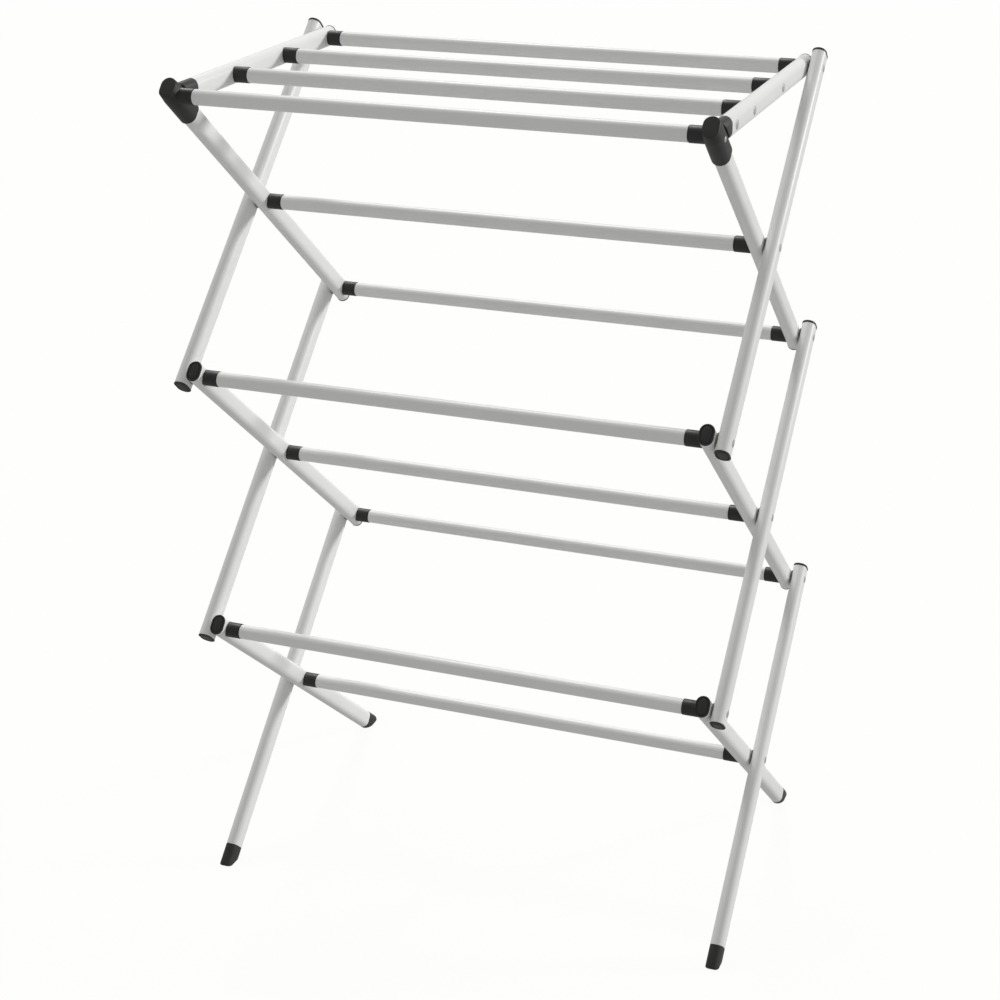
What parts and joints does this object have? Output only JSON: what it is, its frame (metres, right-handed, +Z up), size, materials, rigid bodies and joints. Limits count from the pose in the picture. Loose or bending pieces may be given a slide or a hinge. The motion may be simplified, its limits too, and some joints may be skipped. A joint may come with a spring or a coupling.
{
  "type": "clothes drying rack",
  "caption": "Folding clothes drying rack with two scissor side frames, round hanging rods and a hinged top shelf that hooks over the front rod fittings.",
  "frame": {"origin": "centre of the rack's footprint, on the floor", "axes": "+Z up, +X along the rods, +Y to the back, where the shelf is hinged"},
  "size_m": [0.6892, 0.417, 1.0461],
  "materials": {
    "tube_paint": "white satin powder coat",
    "rod_paint": "white satin powder coat",
    "black_plastic": "moulded, satin"
  },
  "bodies": {
    "outer_legs": {"outer_tube_lower_left": "tube_paint", "outer_tube_lower_right": "tube_paint", "foot_front_left": "black_plastic", "foot_front_right": "black_plastic"},
    "inner_legs": {"inner_tube_lower_left": "tube_paint", "inner_tube_lower_right": "tube_paint", "inner_lower_top_plug_left": "black_plastic", "inner_lower_top_plug_right": "black_plastic", "foot_rear_left": "black_plastic", "foot_rear_right": "black_plastic", "lower_front_rod": "rod_paint", "lower_front_rod_end_left": "black_plastic", "lower_front_rod_end_right": "black_plastic", "lower_cross_rod": "rod_paint", "lower_cross_rod_end_left": "black_plastic", "lower_cross_rod_end_right": "black_plastic"},
    "middle_outer_tubes": {"outer_tube_middle_left": "tube_paint", "outer_tube_middle_right": "tube_paint"},
    "middle_inner_frame": {"inner_tube_middle_left": "tube_paint", "inner_tube_middle_right": "tube_paint", "inner_middle_top_plug_left": "black_plastic", "inner_middle_top_plug_right": "black_plastic", "upper_front_rod": "rod_paint", "upper_front_rod_end_left": "black_plastic", "upper_front_rod_end_right": "black_plastic", "middle_cross_rod": "rod_paint", "middle_cross_rod_end_left": "black_plastic", "middle_cross_rod_end_right": "black_plastic", "lower_rear_rod": "rod_paint", "lower_rear_rod_end_left": "black_plastic", "lower_rear_rod_end_right": "black_plastic"},
    "upper_outer_tubes": {"outer_tube_upper_left": "tube_paint", "outer_tube_upper_right": "tube_paint", "outer_upper_top_plug_left": "black_plastic", "outer_upper_top_plug_right": "black_plastic"},
    "upper_inner_frame": {"inner_tube_upper_left": "tube_paint", "inner_tube_upper_right": "tube_paint", "corner_fitting_left": "black_plastic", "corner_fitting_right": "black_plastic", "front_top_rod": "rod_paint", "upper_cross_rod": "rod_paint", "upper_cross_rod_end_left": "black_plastic", "upper_cross_rod_end_right": "black_plastic", "upper_rear_rod": "rod_paint", "upper_rear_rod_end_left": "black_plastic", "upper_rear_rod_end_right": "black_plastic"},
    "rear_top_bar": {"rear_top_rod": "rod_paint", "rear_top_rod_end_left": "black_plastic", "rear_top_rod_end_right": "black_plastic"},
    "shelf": {"shelf_rail_left": "tube_paint", "shelf_rail_right": "tube_paint", "shelf_hook_left": "black_plastic", "shelf_hook_right": "black_plastic", "shelf_rod_1": "rod_paint", "shelf_rod_1_end_left": "black_plastic", "shelf_rod_1_end_right": "black_plastic", "shelf_rod_2": "rod_paint", "shelf_rod_2_end_left": "black_plastic", "shelf_rod_2_end_right": "black_plastic"}
  },
  "joints": [
    {"name": "fold", "type": "hinge", "parent": "outer_legs", "child": "inner_legs", "pos_m": [0, 0, 0.1781], "axis": [-1, 0, 0], "range_deg": [0, 82]},
    {"name": "middle_front_pivot", "type": "hinge", "parent": "inner_legs", "child": "middle_outer_tubes", "pos_m": [0, -0.18432, 0.347], "axis": [-1, 0, 0], "range_deg": [-82, 0]},
    {"name": "middle_cross_pivot", "type": "hinge", "parent": "middle_outer_tubes", "child": "middle_inner_frame", "pos_m": [0, 0, 0.5159], "axis": [-1, 0, 0], "range_deg": [0, 82]},
    {"name": "upper_front_pivot", "type": "hinge", "parent": "middle_inner_frame", "child": "upper_outer_tubes", "pos_m": [0, -0.18432, 0.6848], "axis": [-1, 0, 0], "range_deg": [-82, 0]},
    {"name": "upper_cross_pivot", "type": "hinge", "parent": "upper_outer_tubes", "child": "upper_inner_frame", "pos_m": [0, 0, 0.85369], "axis": [-1, 0, 0], "range_deg": [0, 82]},
    {"name": "rear_top_pivot", "type": "hinge", "parent": "upper_outer_tubes", "child": "rear_top_bar", "pos_m": [0, 0.18432, 1.02259], "axis": [-1, 0, 0], "range_deg": [0, 123]},
    {"name": "shelf_lift", "type": "hinge", "parent": "rear_top_bar", "child": "shelf", "pos_m": [0, 0.18432, 1.02259], "axis": [-1, 0, 0], "range_deg": [0, 180]}
  ],
  "couplings": [
    {"joint": "middle_front_pivot", "follows": "fold", "ratio": -1},
    {"joint": "middle_cross_pivot", "follows": "fold", "ratio": 1},
    {"joint": "upper_front_pivot", "follows": "fold", "ratio": -1},
    {"joint": "upper_cross_pivot", "follows": "fold", "ratio": 1},
    {"joint": "rear_top_pivot", "follows": "fold", "ratio": 1.5}
  ]
}
